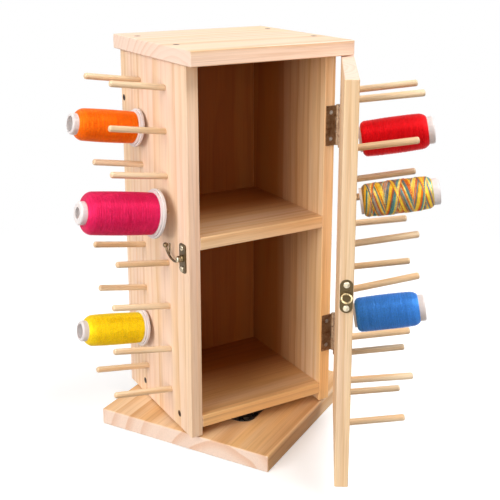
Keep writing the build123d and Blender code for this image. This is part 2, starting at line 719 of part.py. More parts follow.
small_sizes = (small_spool_length, small_flange_radius, small_bore_radius, small_neck_radius)
large_sizes = (large_spool_length, large_flange_radius, large_bore_radius, large_neck_radius)
small_hang = (small_bore_radius, small_stand_off)
large_hang = (large_bore_radius, large_stand_off)
spool_places = {
    "orange": spool_place(left_face, left_back_across, 1, left_back_rise_shares[1], *small_hang),
    "pink": spool_place(left_face, left_front_across, 3, left_front_rise_shares[3], *large_hang),
    "yellow": spool_place(left_face, left_back_across, 6, left_back_rise_shares[6], *small_hang),
    "red": spool_place(door_face, column_across, 1, door_hinge_rise_shares[1], *small_hang),
    "multicolour": spool_place(door_face, -column_across, 2, door_free_rise_shares[2], *small_hang),
    "blue": spool_place(door_face, column_across, 5, door_hinge_rise_shares[5], *small_hang),
}
for colour, place in spool_places.items():
    if colour == "pink":
        core, thread = flanged_spool(*large_sizes, large_thread_radius)
    elif colour in ("orange", "yellow"):
        core, thread = flanged_spool(*small_sizes, flanged_thread_radius)
    elif colour == "multicolour":
        core, thread = ringed_spool(slim_neck_radius, slim_thread_radius)
    else:
        core, thread = ringed_spool(ringed_neck_radius, ringed_thread_radius)
    core = core.moved(place.location)
    thread = thread.moved(place.location)
    if colour in ("red", "multicolour", "blue"):
        core = swung_door(core)
        thread = swung_door(thread)
    save(core, f"{colour}_spool_core")
    save(thread, f"{colour}_spool_thread")
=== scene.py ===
# %% [markdown]
# A turning thread rack, dressed around its CAD model.
#
# The real object is a small pine cabinet on a turntable. Its side, back and door
# carry tilted dowels, and some dowels hold spools of shiny thread. The CAD model
# already has every board, dowel, screw and hinge where it belongs, so Blender's work
# is the look: solid wood with its own grain, worn brass, pressed steel, moulded
# plastic, and thread that is really wound. Everything is in metres.

# %% Load the CAD model as a fixed frame
import json
import math

import bpy
import numpy as np
from mathutils import Matrix, Vector


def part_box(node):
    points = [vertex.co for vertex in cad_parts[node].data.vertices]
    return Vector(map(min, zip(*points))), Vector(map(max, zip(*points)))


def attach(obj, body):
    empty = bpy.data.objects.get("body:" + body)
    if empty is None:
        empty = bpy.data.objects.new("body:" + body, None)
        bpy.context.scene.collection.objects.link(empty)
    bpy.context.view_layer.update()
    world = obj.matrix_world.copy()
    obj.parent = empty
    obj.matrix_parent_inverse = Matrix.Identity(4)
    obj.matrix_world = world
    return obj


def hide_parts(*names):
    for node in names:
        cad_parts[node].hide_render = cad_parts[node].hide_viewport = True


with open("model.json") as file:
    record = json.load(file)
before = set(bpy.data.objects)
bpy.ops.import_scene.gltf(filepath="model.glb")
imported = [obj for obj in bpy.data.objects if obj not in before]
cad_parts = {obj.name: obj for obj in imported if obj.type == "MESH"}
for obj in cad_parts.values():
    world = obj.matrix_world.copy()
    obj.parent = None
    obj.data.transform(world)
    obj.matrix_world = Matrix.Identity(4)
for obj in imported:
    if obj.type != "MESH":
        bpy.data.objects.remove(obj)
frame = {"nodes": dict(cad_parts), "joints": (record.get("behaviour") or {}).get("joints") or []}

nodes = frame["nodes"]
joints = {joint["name"]: joint for joint in frame["joints"]}
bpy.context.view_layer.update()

# %% [markdown]
# The camera comes first, because every later step is judged through it. It could be
# placed by eye, but the cabinet's straight edges give its place exactly: these numbers
# were fitted to them. The lens is slightly shifted, as a product photographer does to
# keep the upright edges from leaning.

# %% Camera
MM = 0.001
picture_side = 500
focal_pixels = 918.6
shift_pixels = -75
camera_place = Vector((-434.1, -779.7, 483.1)) * MM
camera_yaw, camera_pitch, camera_roll = 0.5323, 0.2512, -0.0002

camera = bpy.data.objects.new("camera", bpy.data.cameras.new("camera"))
bpy.context.scene.collection.objects.link(camera)
camera.data.lens = camera.data.sensor_width * focal_pixels / picture_side
camera.data.shift_y = shift_pixels / picture_side
forward = Vector((math.sin(camera_yaw) * math.cos(camera_pitch),
                  math.cos(camera_yaw) * math.cos(camera_pitch), -math.sin(camera_pitch)))
level = Vector((math.cos(camera_yaw), -math.sin(camera_yaw), 0))
down = forward.cross(level)
right = math.cos(camera_roll) * level + math.sin(camera_roll) * down
upward = right.cross(forward)
camera.matrix_world = Matrix((right, upward, -forward)).transposed().to_4x4()
camera.location = camera_place
bpy.context.scene.camera = camera
print("lens", round(camera.data.lens, 1), "mm")

# %% [markdown]
# Materials are built from nodes. A few short helpers keep that readable: one adds a
# node and feeds its inputs, one does arithmetic, one mixes two colours, and one turns
# a value into another through a row of stops.

# %% Helpers for node materials


def new_material(name):
    """A material with an output and an empty Principled shader."""
    material = bpy.data.materials.new(name)
    material.use_nodes = True
    tree = material.node_tree
    tree.nodes.clear()
    shader = tree.nodes.new("ShaderNodeBsdfPrincipled")
    output = tree.nodes.new("ShaderNodeOutputMaterial")
    tree.links.new(shader.outputs["BSDF"], output.inputs["Surface"])
    return material, tree, shader


def feed(tree, socket, value):
    """Set an input, or link another node's output to it."""
    if isinstance(value, bpy.types.NodeSocket):
        tree.links.new(value, socket)
    else:
        socket.default_value = value


def step(tree, kind, feeds, **settings):
    """Add a node of one kind with its settings, and feed its inputs."""
    made = tree.nodes.new(kind)
    for name, value in settings.items():
        setattr(made, name, value)
    for socket, value in feeds.items():
        feed(tree, made.inputs[socket], value)
    return made


def calc(tree, operation, *values):
    """The result of one arithmetic step."""
    return step(tree, "ShaderNodeMath", dict(enumerate(values)), operation=operation).outputs[0]


def mix(tree, share, first, second, blend_type="MIX"):
    """Two colours mixed by a share."""
    colour_a, colour_b, result = 6, 7, 2
    made = step(tree, "ShaderNodeMix", {0: share, colour_a: first, colour_b: second},
                data_type="RGBA", blend_type=blend_type)
    return made.outputs[result]


def ramp(tree, value, stops, interpolation="LINEAR"):
    """A value turned into colours or greys through a row of stops."""
    made = step(tree, "ShaderNodeValToRGB", {0: value})
    made.color_ramp.interpolation = interpolation
    while len(made.color_ramp.elements) < len(stops):
        made.color_ramp.elements.new(1)
    for element, (place, colour) in zip(made.color_ramp.elements, stops):
        element.position = place
        element.color = colour if len(colour) == 4 else (*colour, 1)
    return made.outputs[0]


def noise(tree, vector, scale, detail=2.0, roughness=0.5):
    """Soft noise, as a value around one half."""
    return step(tree, "ShaderNodeTexNoise",
                {"Vector": vector, "Scale": scale, "Detail": detail, "Roughness": roughness}).outputs[0]


def stretched(tree, vector, stretch):
    """A vector with each axis scaled by its own amount."""
    return step(tree, "ShaderNodeVectorMath", {0: vector, 1: stretch}, operation="MULTIPLY").outputs[0]


def reach_along(tree, vector, direction):
    """How far a vector reaches along a direction."""
    return step(tree, "ShaderNodeVectorMath", {0: vector, 1: direction}, operation="DOT_PRODUCT").outputs[1]


def bump(tree, height, strength, distance):
    """A surface normal pushed by a height."""
    return step(tree, "ShaderNodeBump",
                {"Height": height, "Strength": strength, "Distance": distance}).outputs[0]


def grey(level):
    """A grey colour."""
    return (level, level, level, 1)


def dress(material, *names):
    """Give CAD nodes a finished material."""
    for name in names:
        for slot in nodes[name].material_slots:
            slot.material = material


print("helpers ready")

# %% [markdown]
# Pine is not a picture glued on a box. A board is cut from a log, so its faces show
# stripes, its ends show arcs, and both come from the same rings. The recipe does just
# that: it turns the board so that its grain runs along one axis, measures the distance
# from the heart of the log, and draws pale early wood and darker late wood at every
# ring. Noise bends the rings, thin stretched noise gives the fibres, and where the
# surface faces along the grain it is end grain, paler and pinker with tiny pores.
# Inside the compartments shade is painted into the wood: the faces that look into a
# compartment are tinted a deeper brown the farther back they lie.

# %% Pine from the rings of a log
WARM_WOOD = (0.90, 0.55, 0.24, 1)
PALE_WOOD = (0.90, 0.645, 0.40, 1)
PINK_WOOD = (0.91, 0.655, 0.50, 1)
LATE_WOOD = (0.74, 0.42, 0.19, 1)
END_WOOD = (0.90, 0.68, 0.545, 1)
END_LATE_WOOD = (0.80, 0.51, 0.355, 1)
# Painted shade: the tint for faces inside the compartments, and the depth over which it deepens.
PAINTED_SHADE_TINT = (0.37, 0.17, 0.05, 1)
PAINTED_SHADE_DEPTH = 0.085
RING_STOPS = ((0.0, grey(0.05)), (0.42, grey(0.12)), (0.86, grey(0.9)), (0.93, grey(1.0)), (1.0, grey(0.05)))


def turned_to_grain(grain, face):
    """The rotation that turns the grain to z and the face's normal to y."""
    grain, face = Vector(grain).normalized(), Vector(face).normalized()
    return Matrix((face.cross(grain), face, grain))


def wood_coordinates(tree, turn, offset):
    """Places in the log: z along the grain, x and y from its heart."""
    place = tree.nodes.new("ShaderNodeTexCoord")
    mapping = step(tree, "ShaderNodeMapping", {"Vector": place.outputs["Object"], "Location": offset,
                                               "Rotation": turn.to_euler("XYZ")})
    return place, mapping.outputs[0]


def share_facing(tree, place, direction, least, most):
    """How much a surface faces a direction, from 0 below least to 1 above most."""
    facing = reach_along(tree, place.outputs["Normal"], direction)
    return ramp(tree, facing, ((least, grey(0)), (most, grey(1))))


def pine(name, node, grain, face, heart, ring, stripe, tone_with_painted_light, painted_shade_faces):
    """Pine for one board: heart is how far the log's heart lies across and behind it,
    ring is a year's growth, and the last argument lists the ways that its faces look into a
    compartment; shade is painted on those faces, deeper towards the back."""
    material, tree, shader = new_material(name)
    low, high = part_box(node)
    turn = turned_to_grain(grain, face)
    offset = -(turn @ ((low + high) / 2)) + Vector((*heart, 0))
    place, log = wood_coordinates(tree, turn, offset)
    wander = step(tree, "ShaderNodeTexNoise", {"Vector": stretched(tree, log, (1, 1, 0.16)),
                                               "Scale": 16.0, "Detail": 3.0}).outputs[1]
    bent = step(tree, "ShaderNodeVectorMath", {0: wander, 1: (0.012, 0.012, 0), 2: log},
                operation="MULTIPLY_ADD").outputs[0]
    flat = stretched(tree, bent, (1, 1, 0))
    radius = step(tree, "ShaderNodeVectorMath", {0: flat}, operation="LENGTH").outputs[1]
    rings = calc(tree, "DIVIDE", radius, ring)
    late = ramp(tree, calc(tree, "FRACT", rings), RING_STOPS)
    year = step(tree, "ShaderNodeTexWhiteNoise", {"W": calc(tree, "FLOOR", rings)},
                noise_dimensions="1D").outputs[0]
    strength = calc(tree, "MULTIPLY_ADD", year, 0.85, 0.2)
    late = calc(tree, "MULTIPLY", late, calc(tree, "MULTIPLY", strength, stripe))
    fibre = noise(tree, stretched(tree, log, (1, 1, 0.012)), 1500.0, 3.0, 0.6)
    fleck = noise(tree, stretched(tree, log, (1, 1, 0.03)), 420.0, 2.0)
    drift = noise(tree, stretched(tree, log, (1, 1, 0.1)), 34.0, 2.0)
    # Painted light in the tone: the share picks warm, pale or pink wood; brightly lit boards are set towards
    # pale and pink and shaded ones towards warm, on top of each board's own tone.
    pale = ramp(tree, calc(tree, "MULTIPLY_ADD", drift, 1.8, tone_with_painted_light - 0.9),
                ((0.0, WARM_WOOD), (0.5, PALE_WOOD), (1.0, PINK_WOOD)))
    along = mix(tree, late, pale, LATE_WOOD)
    fine = ramp(tree, fibre, ((0.3, grey(0.90)), (0.62, grey(1.03))))
    along = mix(tree, 1.0, along, fine, "MULTIPLY")
    streak = ramp(tree, fleck, ((0.36, (0.86, 0.80, 0.74)), (0.46, grey(1.0))))
    along = mix(tree, 0.55, along, streak, "MULTIPLY")
    pores = noise(tree, log, 1900.0, 2.0)
    across = mix(tree, late, END_WOOD, END_LATE_WOOD)
    across = mix(tree, 0.6, across, ramp(tree, pores, ((0.35, grey(0.84)), (0.6, grey(1.03)))), "MULTIPLY")
    # Painted shade: faces that look into a compartment are darkened by the tint, more the farther back they
    # lie.
    rearward = step(tree, "ShaderNodeSeparateXYZ", {0: place.outputs["Object"]}).outputs[1]
    depth = calc(tree, "SUBTRACT", rearward, inner_front)
    deep = step(tree, "ShaderNodeMapRange", {0: depth, 1: 0.0, 2: PAINTED_SHADE_DEPTH}).outputs[0]
    for direction in painted_shade_faces:
        inside = calc(tree, "MULTIPLY", deep, share_facing(tree, place, direction, 0.5, 0.9))
        along = mix(tree, inside, along, mix(tree, 1.0, along, PAINTED_SHADE_TINT, "MULTIPLY"))
    ends = [share_facing(tree, place, way * Vector(grain).normalized(), 0.55, 0.85) for way in (-1, 1)]
    feed(tree, shader.inputs["Base Color"], mix(tree, calc(tree, "MAXIMUM", *ends), along, across))
    feed(tree, shader.inputs["Roughness"], calc(tree, "MULTIPLY_ADD", fibre, 0.16, 0.46))
    feed(tree, shader.inputs["Normal"], bump(tree, fibre, 0.22, 0.0003))
    shader.inputs["Specular IOR Level"].default_value = 0.35
    return material


inner_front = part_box("shelf")[0].y
print("pine ready; the compartments' mouth is at y =", round(inner_front, 4))

# %% [markdown]
# Each board comes from its own place in its own log, so no two boards match, and its
# tone also carries painted light: boards that are brightly lit, such as the left side
# and the top, are set paler and pinker, and boards in shade, such as the back, the
# bottom and the base, warmer. The sides, the back and the door have upright grain. The
# top, the shelf and the bottom run from side to side, and the base runs across its own
# square, which is turned.

# %% Boards
DOOR_OPEN_DEGREES, BASE_TURN_DEGREES = 55, 31
door_turn = Matrix.Rotation(math.radians(DOOR_OPEN_DEGREES), 3, "Z")
base_turn = Matrix.Rotation(math.radians(BASE_TURN_DEGREES), 3, "Z")
UP, ACROSS, FRONT, SIDE = Vector((0, 0, 1)), Vector((1, 0, 0)), Vector((0, -1, 0)), Vector((-1, 0, 0))

# node, grain, face, heart, ring, stripe, tone with painted light, faces with painted shade
board_cuts = (
    ("left_panel", UP, SIDE, (0.018, 0.050), 0.0060, 0.75, 0.90, [-SIDE]),
    ("right_panel", UP, SIDE, (-0.035, 0.070), 0.0062, 1.0, 0.30, [SIDE]),
    ("back_panel", UP, FRONT, (0.024, 0.060), 0.0066, 0.9, 0.25, [FRONT]),
    ("door_panel", UP, door_turn @ FRONT, (-0.020, 0.055), 0.0060, 0.8, 0.50, []),
    ("top_board", ACROSS, UP, (0.050, 0.075), 0.0066, 0.8, 0.95, [-UP]),
    ("shelf", ACROSS, UP, (-0.030, 0.045), 0.0062, 0.9, 0.25, [UP, -UP]),
    ("bottom_board", ACROSS, UP, (0.015, 0.060), 0.0058, 1.0, 0.10, [UP]),
    ("base_board", base_turn @ ACROSS, UP, (0.040, 0.036), 0.0170, 1.25, 0.30, []),
)
for node, *cut in board_cuts:
    dress(pine(f"pine_{node}", node, *cut), node)
print(len(board_cuts), "boards")

# %% [markdown]
# The dowels are thin rods of the same wood, but each was cut from another stick. Their
# grain runs along the rod, with few rings and long fibres, and their rounded ends are a
# little darker. One material serves a whole column: the height of a rod picks its shade.

# %% Dowels
PEG_TILT = math.radians(9)
PEG_ROW = 0.0428
PEG_ROW_TOP = 0.3740
DOWEL_WARM, DOWEL_PALE = (0.86, 0.62, 0.375, 1), (0.90, 0.70, 0.475, 1)
DOWEL_STREAK, DOWEL_END = (0.74, 0.46, 0.235, 1), (0.70, 0.47, 0.28, 1)


def dowel_wood(name, outward):
    """Wood for a column of dowels that point outward and a little up."""
    material, tree, shader = new_material(name)
    axis = Vector(outward) * math.cos(PEG_TILT) + UP * math.sin(PEG_TILT)
    turn = turned_to_grain(axis, UP.cross(axis).normalized())
    place, stick = wood_coordinates(tree, turn, Vector((0.011, 0.017, 0)))
    height = step(tree, "ShaderNodeSeparateXYZ", {0: place.outputs["Object"]}).outputs[2]
    row = calc(tree, "FLOOR", calc(tree, "DIVIDE", calc(tree, "SUBTRACT", PEG_ROW_TOP, height), PEG_ROW))
    shade = step(tree, "ShaderNodeTexWhiteNoise", {"W": row}, noise_dimensions="1D").outputs[0]
    lines = noise(tree, stretched(tree, stick, (1, 1, 0.02)), 900.0, 3.0, 0.55)
    bands = noise(tree, stretched(tree, stick, (1, 1, 0.05)), 260.0, 1.0)
    colour = mix(tree, shade, DOWEL_WARM, DOWEL_PALE)
    streak = ramp(tree, bands, ((0.45, grey(0)), (0.68, grey(0.8))))
    colour = mix(tree, streak, colour, DOWEL_STREAK)
    colour = mix(tree, 1.0, colour, ramp(tree, lines, ((0.3, grey(0.86)), (0.62, grey(1.03)))), "MULTIPLY")
    facing = reach_along(tree, place.outputs["Normal"], axis)
    end = ramp(tree, facing, ((0.5, grey(0)), (0.9, grey(0.5))))
    feed(tree, shader.inputs["Base Color"], mix(tree, end, colour, DOWEL_END))
    feed(tree, shader.inputs["Roughness"], calc(tree, "MULTIPLY_ADD", lines, 0.2, 0.42))
    feed(tree, shader.inputs["Normal"], bump(tree, lines, 0.25, 0.0002))
    shader.inputs["Specular IOR Level"].default_value = 0.35
    return material


dress(dowel_wood("dowel_side", SIDE), "left_front_pegs", "left_back_pegs")
dress(dowel_wood("dowel_back", -FRONT), "back_left_pegs", "back_right_pegs")
dress(dowel_wood("dowel_door", door_turn @ FRONT), "door_hinge_side_pegs", "door_free_side_pegs")
print("dowels dressed")

# %% [markdown]
# Metal shows what is around it, so its recipe is mostly how rough and how stained it
# is. One function covers every finish: dull zinc for the hinges, bright zinc for small
# screws, dark oxide for the wood screws, and old brass for the latch, whose sheet is
# dark with stain and whose high spots are rubbed bright. Noise at two scales mixes the
# stain into the metal, and the height above the back of a plate says what is rubbed.

# %% Metals
STAINED_HEIGHT, RUBBED_HEIGHT, HOLLOW_STAIN = 0.0013, 0.0026, 0.9


def metal(name, bright, stained, stain_share, rough, brushed=(1, 1, 1), relief=None):
    """A metal with stains, fine brushing and uneven gloss; relief rubs bright what stands out."""
    material, tree, shader = new_material(name)
    place = tree.nodes.new("ShaderNodeTexCoord").outputs["Object"]
    cloud = noise(tree, place, 240.0, 4.0, 0.6)
    brush = noise(tree, stretched(tree, place, brushed), 2600.0, 2.0)
    stain = ramp(tree, cloud, ((max(0.0, 0.62 - stain_share), grey(0)), (0.80 - stain_share * 0.5, grey(1))))
    if relief:
        node, direction = relief
        reaches = [vertex.co.dot(direction) for vertex in nodes[node].data.vertices]
        hollow = step(tree, "ShaderNodeMapRange", {0: reach_along(tree, place, direction),
                                                   1: min(reaches) + STAINED_HEIGHT,
                                                   2: min(reaches) + RUBBED_HEIGHT,
                                                   3: HOLLOW_STAIN, 4: 0.0}).outputs[0]
        stain = calc(tree, "MAXIMUM", stain, hollow)
    colour = mix(tree, stain, bright, stained)
    colour = mix(tree, 0.5, colour, ramp(tree, brush, ((0.3, grey(0.8)), (0.7, grey(1.05)))), "MULTIPLY")
    feed(tree, shader.inputs["Base Color"], colour)
    feed(tree, shader.inputs["Roughness"],
         calc(tree, "MULTIPLY_ADD", cloud, 0.25, rough - 0.1))
    feed(tree, shader.inputs["Normal"], bump(tree, brush, 0.12, 0.0001))
    shader.inputs["Metallic"].default_value = 1.0
    return material


both = ("upper", "lower")
dress(metal("dull_zinc", (0.44, 0.31, 0.20, 1), (0.24, 0.14, 0.08, 1), 0.25, 0.42, (1, 1, 0.04)),
      *[f"{name}_hinge_{part}" for name in both for part in ("frame_leaf", "door_leaf", "pin")])
dress(metal("bright_zinc", (0.78, 0.77, 0.75, 1), (0.45, 0.42, 0.40, 1), 0.2, 0.3),
      *[f"{name}_hinge_{part}_screws" for name in both for part in ("frame", "door")],
      "turntable_lower_screws", "turntable_upper_screws", "turntable_balls", "turntable_ball_cage")
dress(metal("dark_oxide", (0.115, 0.065, 0.05, 1), (0.05, 0.03, 0.025, 1), 0.3, 0.45),
      "top_board_screws", "left_side_screws", "right_side_screws")
BRASS, STAINED_BRASS = (0.86, 0.66, 0.36, 1), (0.050, 0.030, 0.012, 1)
dress(metal("latch_brass", BRASS, STAINED_BRASS, 0.25, 0.32, relief=("latch_plate", SIDE)), "latch_plate")
dress(metal("catch_brass", BRASS, STAINED_BRASS, 0.25, 0.32, relief=("catch_plate", door_turn @ SIDE)),
      "catch_plate")
dress(metal("rubbed_brass", (0.80, 0.72, 0.55, 1), (0.20, 0.14, 0.07, 1), 0.2, 0.3),
      "latch_plate_screws", "latch_rivet", "catch_plate_screws")
dress(metal("hook_brass", (0.50, 0.38, 0.22, 1), (0.10, 0.06, 0.03, 1), 0.35, 0.3), "latch_hook")
print("metals dressed")

# %% [markdown]
# The turntable's plates are pressed steel under black paint. Paint is not a metal to
# the shader: it is a dark coat that is glossy where it is whole and dull where dust
# lies on it.

# %% Black paint
black_paint, tree, shader = new_material("black_paint")
place = tree.nodes.new("ShaderNodeTexCoord").outputs["Object"]
dust = noise(tree, place, 90.0, 5.0, 0.65)
orange_peel = noise(tree, place, 1400.0, 1.0)
feed(tree, shader.inputs["Base Color"],
     ramp(tree, dust, ((0.35, (0.012, 0.012, 0.013)), (0.75, (0.055, 0.05, 0.047)))))
feed(tree, shader.inputs["Roughness"], calc(tree, "MULTIPLY_ADD", dust, 0.4, 0.1))
feed(tree, shader.inputs["Normal"], bump(tree, orange_peel, 0.1, 0.0001))
dress(black_paint, "turntable_lower_plate", "turntable_upper_plate")
print("paint dressed")

# %% [markdown]
# The spools' cores are white moulded plastic. It is smooth but not mirror-like, a
# little light goes into it and comes out again, and the mould leaves faint rings round
# the core, which a bump from very fine noise stands for.

# %% White plastic
white_plastic, tree, shader = new_material("white_plastic")
place = tree.nodes.new("ShaderNodeTexCoord").outputs["Object"]
cloud = noise(tree, place, 60.0, 3.0)
grain = noise(tree, place, 2200.0, 2.0)
feed(tree, shader.inputs["Base Color"],
     ramp(tree, cloud, ((0.3, (0.72, 0.63, 0.60)), (0.7, (0.82, 0.755, 0.73)))))
feed(tree, shader.inputs["Roughness"], calc(tree, "MULTIPLY_ADD", cloud, 0.2, 0.22))
feed(tree, shader.inputs["Normal"], bump(tree, grain, 0.08, 0.0001))
shader.inputs["Subsurface Weight"].default_value = 0.15
shader.inputs["Subsurface Radius"].default_value = (0.002, 0.0016, 0.0014)
colours = ("orange", "pink", "yellow", "red", "multicolour", "blue")
dress(white_plastic, *[f"{colour}_spool_core" for colour in colours])
print("cores dressed")

# %% [markdown]
# Wound thread is what the eye goes to. A cylinder with a stripe picture would look flat,
# so the thread here is real geometry: one long tube that travels round and round and to
# and fro over the spool, as a winding machine lays it, on top of a smooth packed core of
# the same colour. The CAD solid gives the outline of the package, and the thread is laid
# just inside it. First come the spool's own axes and its outline, read from the CAD.

# %% Where each spool is, and its outline


def spool_axes(colour):
    """The spool's centre and the turn from spool axes, z along the core, to the row frame."""
    joint = joints[f"{colour}_spool_spin"]
    along = Vector(joint["axis"]).normalized()
    aside = UP.cross(along).normalized()
    return Vector(joint["pos_m"]), Matrix((aside, along.cross(aside), along)).transposed()


def outline(colour, skin):
    """The package's outer outline, as places along the core and radii, drawn in by skin."""
    centre, turn = spool_axes(colour)
    inverse = turn.transposed()
    points = [inverse @ (vertex.co - centre) for vertex in nodes[f"{colour}_spool_thread"].data.vertices]
    hull = []
    for place, reach in sorted((point.z, math.hypot(point.x, point.y)) for point in points):
        while len(hull) > 1 and rises_above(hull[-2], hull[-1], (place, reach)):
            hull.pop()
        hull.append((place, reach))
    along, radii = np.array(hull[1:]).T
    return along, radii - skin


def rises_above(first, middle, last):
    """Whether the last of three outline points makes the middle one lie under the outline."""
    across = (middle[0] - first[0]) * (last[1] - first[1]) - (middle[1] - first[1]) * (last[0] - first[0])
    return across >= 0


for colour in colours:
    along, radii = outline(colour, 0)
    print(colour, "package", round(1000 * (along[-1] - along[0]), 1), "mm long, radius",
          round(1000 * max(radii), 1), "mm")

# %% [markdown]
# A tube along a path is quick to build by hand: at every point of the path a small ring
# of corners stands across it, and neighbouring rings are joined by faces. The texture
# coordinate u counts the winding's progress and v goes round the thread, so that the
# material can change colour along the thread and show its twist.

# %% A tube along a path
TUBE_SIDES = 5


def tube(points, radius, progress, flatness=1.0):
    """Corners, faces and texture coordinates of a thin tube along a path round the z axis."""
    ahead = np.gradient(points, axis=0)
    ahead /= np.linalg.norm(ahead, axis=1)[:, None]
    outward = points * (1, 1, 0)
    outward /= np.linalg.norm(outward, axis=1)[:, None]
    aside = np.cross(ahead, outward)
    aside /= np.linalg.norm(aside, axis=1)[:, None]
    outward = np.cross(aside, ahead)
    turn = np.arange(TUBE_SIDES) * 2 * math.pi / TUBE_SIDES
    corners = (points[:, None] + radius * (flatness * np.cos(turn)[None, :, None] * outward[:, None]
                                           + np.sin(turn)[None, :, None] * aside[:, None]))
    first = np.arange(len(points) - 1)[:, None] * TUBE_SIDES
    side = np.arange(TUBE_SIDES)[None, :]
    following = (side + 1) % TUBE_SIDES
    faces = np.stack([first + side, first + following, first + TUBE_SIDES + following,
                      first + TUBE_SIDES + side], axis=2).reshape(-1, 4)
    u = np.stack([progress[:-1], progress[:-1], progress[1:], progress[1:]], axis=1)
    u = np.repeat(u[:, None], TUBE_SIDES, axis=1).reshape(-1, 4)
    v = np.broadcast_to(np.stack([side[0], side[0] + 1, side[0] + 1, side[0]], axis=1) / TUBE_SIDES,
                        (len(points) - 1, TUBE_SIDES, 4)).reshape(-1, 4)
    return corners.reshape(-1, 3), faces, np.stack([u, v], axis=2)


print("a tube has", TUBE_SIDES, "sides")

# %% [markdown]
# The packed core under the thread is the outline turned round the axis, a lathe body.
# The mesh maker below joins it with the tubes into one piece, turns that piece from
# spool axes to its place on the rack, and lets it ride and replace as the frame asks.

# %% The packed core, and one mesh from all parts of a package
LATHE_STEPS = 96
CORE_HOLLOW_RADIUS = 0.009


def packed_core(colour, skin):
    """A closed lathe body just under the thread."""
    along, radii = outline(colour, skin)
    along = np.concatenate(([along[0]], along, [along[-1]]))
    radii = np.concatenate(([CORE_HOLLOW_RADIUS], radii, [CORE_HOLLOW_RADIUS]))
    turn = np.arange(LATHE_STEPS) * 2 * math.pi / LATHE_STEPS
    corners = np.stack([radii[:, None] * np.cos(turn), radii[:, None] * np.sin(turn),
                        np.repeat(along[:, None], LATHE_STEPS, axis=1)], axis=2).reshape(-1, 3)
    ring = np.arange(len(along))[:, None] * LATHE_STEPS
    following_ring = np.roll(ring, -1, axis=0)
    side = np.arange(LATHE_STEPS)[None, :]
    following = (side + 1) % LATHE_STEPS
    faces = np.stack([ring + side, ring + following, following_ring + following,
                      following_ring + side], axis=2).reshape(-1, 4)
    return corners, faces, np.zeros((len(faces), 4, 2))


def package(colour, parts, material):
    """One mesh piece from the parts of a wound package, in its place on the rack."""
    centre, turn = spool_axes(colour)
    starts = np.cumsum([0] + [len(corners) for corners, _, _ in parts])
    corners = np.concatenate([corners for corners, _, _ in parts])
    faces = np.concatenate([faces + start for (_, faces, _), start in zip(parts, starts)])
    marks = np.concatenate([marks for _, _, marks in parts]).reshape(-1, 2)
    placed = corners @ np.array(turn).T + np.array(centre)
    mesh = bpy.data.meshes.new(f"{colour}_winding")
    mesh.from_pydata(placed.tolist(), [], faces.tolist())
    mesh.uv_layers.new(name="along_thread").data.foreach_set("uv", marks.ravel())
    mesh.polygons.foreach_set("use_smooth", np.ones(len(faces), bool))
    mesh.materials.append(material)
    piece = bpy.data.objects.new(f"{colour}_winding", mesh)
    bpy.context.scene.collection.objects.link(piece)
    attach(piece, f"{colour}_spool")
    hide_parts(f"{colour}_spool_thread")
    return piece


print("package maker ready")

# %% [markdown]
# Five of the spools are wound almost square to the core, turn beside turn, with a few
# turns that cross at a slant because the machine's guide runs to and fro. The path is
# a point that goes round while it moves along the outline, and small seeded waves keep
# the turns from being perfect. Three layers do it: a dense one, a loose one over it,
# and a few steep strands.

# %% Laying the thread
THREAD_RADIUS = 0.00021
CORE_DEPTH_IN_RADII = 2.2
PATH_SHARE, PATH_START_SHARE = 0.985, 0.008


def laid(colour, share_along, angle, lift, radius):
    """Points of a thread laid on the outline at these shares of its length and angles."""
    along, radii = outline(colour, radius)
    stretch = np.concatenate(([0], np.cumsum(np.hypot(np.diff(along), np.diff(radii)))))
    travelled = share_along * stretch[-1]
    place = np.interp(travelled, stretch, along)
    reach = np.interp(travelled, stretch, radii) + lift
    return np.stack([reach * np.cos(angle), reach * np.sin(angle), place], axis=1)


def to_and_fro(count, dwell=0.04):
    """A share that runs from 0 to 1 and back, count times, slowing at both ends."""
    def share(time):
        wave = 1 - np.abs(np.mod(time * count, 2) - 1)
        eased = wave * wave * (3 - 2 * wave)
        return (1 - dwell * 8) * wave + dwell * 8 * eased
    return share


def square_winding(colour, seed):
    """The layers of a package that is wound almost square to its core."""
    chance = np.random.default_rng(seed)
    parts = [packed_core(colour, CORE_DEPTH_IN_RADII * THREAD_RADIUS)]
    along, radii = outline(colour, 0)
    length = np.hypot(np.diff(along), np.diff(radii)).sum()
    # turns per pass, passes, lift, steps per turn
    layers = ((length / (2.05 * THREAD_RADIUS), 1, -0.8 * THREAD_RADIUS, 38),
              (length / (11 * THREAD_RADIUS), 3, -0.1 * THREAD_RADIUS, 40),
              (3.4, 5, 0.0, 64))
    for turns_per_pass, passes, lift, steps_per_turn in layers:
        turns = turns_per_pass * passes
        time = np.linspace(0, 1, int(turns * steps_per_turn))
        share = to_and_fro(passes)(time) * PATH_SHARE + PATH_START_SHARE
        wobble = sum(chance.uniform(0.1, 0.35) * np.sin(2 * math.pi * (rate * turns * time + chance.random()))
                     for rate in (0.031, 0.113, 0.27))
        share = np.clip(share + wobble * THREAD_RADIUS / length, 0.003, 0.997)
        points = laid(colour, share, 2 * math.pi * (turns * time + chance.random()), lift, THREAD_RADIUS)
        parts.append(tube(points, THREAD_RADIUS, time * turns))
    return parts


test_parts = square_winding("orange", 1)
print("an orange package has", sum(len(faces) for _, faces, _ in test_parts), "faces")

# %% [markdown]
# Embroidery thread shines because its fibres are smooth and lie side by side, and the
# light that they throw back takes on the dye, almost as on a coloured metal. So the
# shader is a bright dye that is partly metallic, with a fine twist drawn by a wave that
# runs along and round the thread, and a shade that drifts from turn to turn.

# %% Plain thread
TWIST_RATE = 900.0


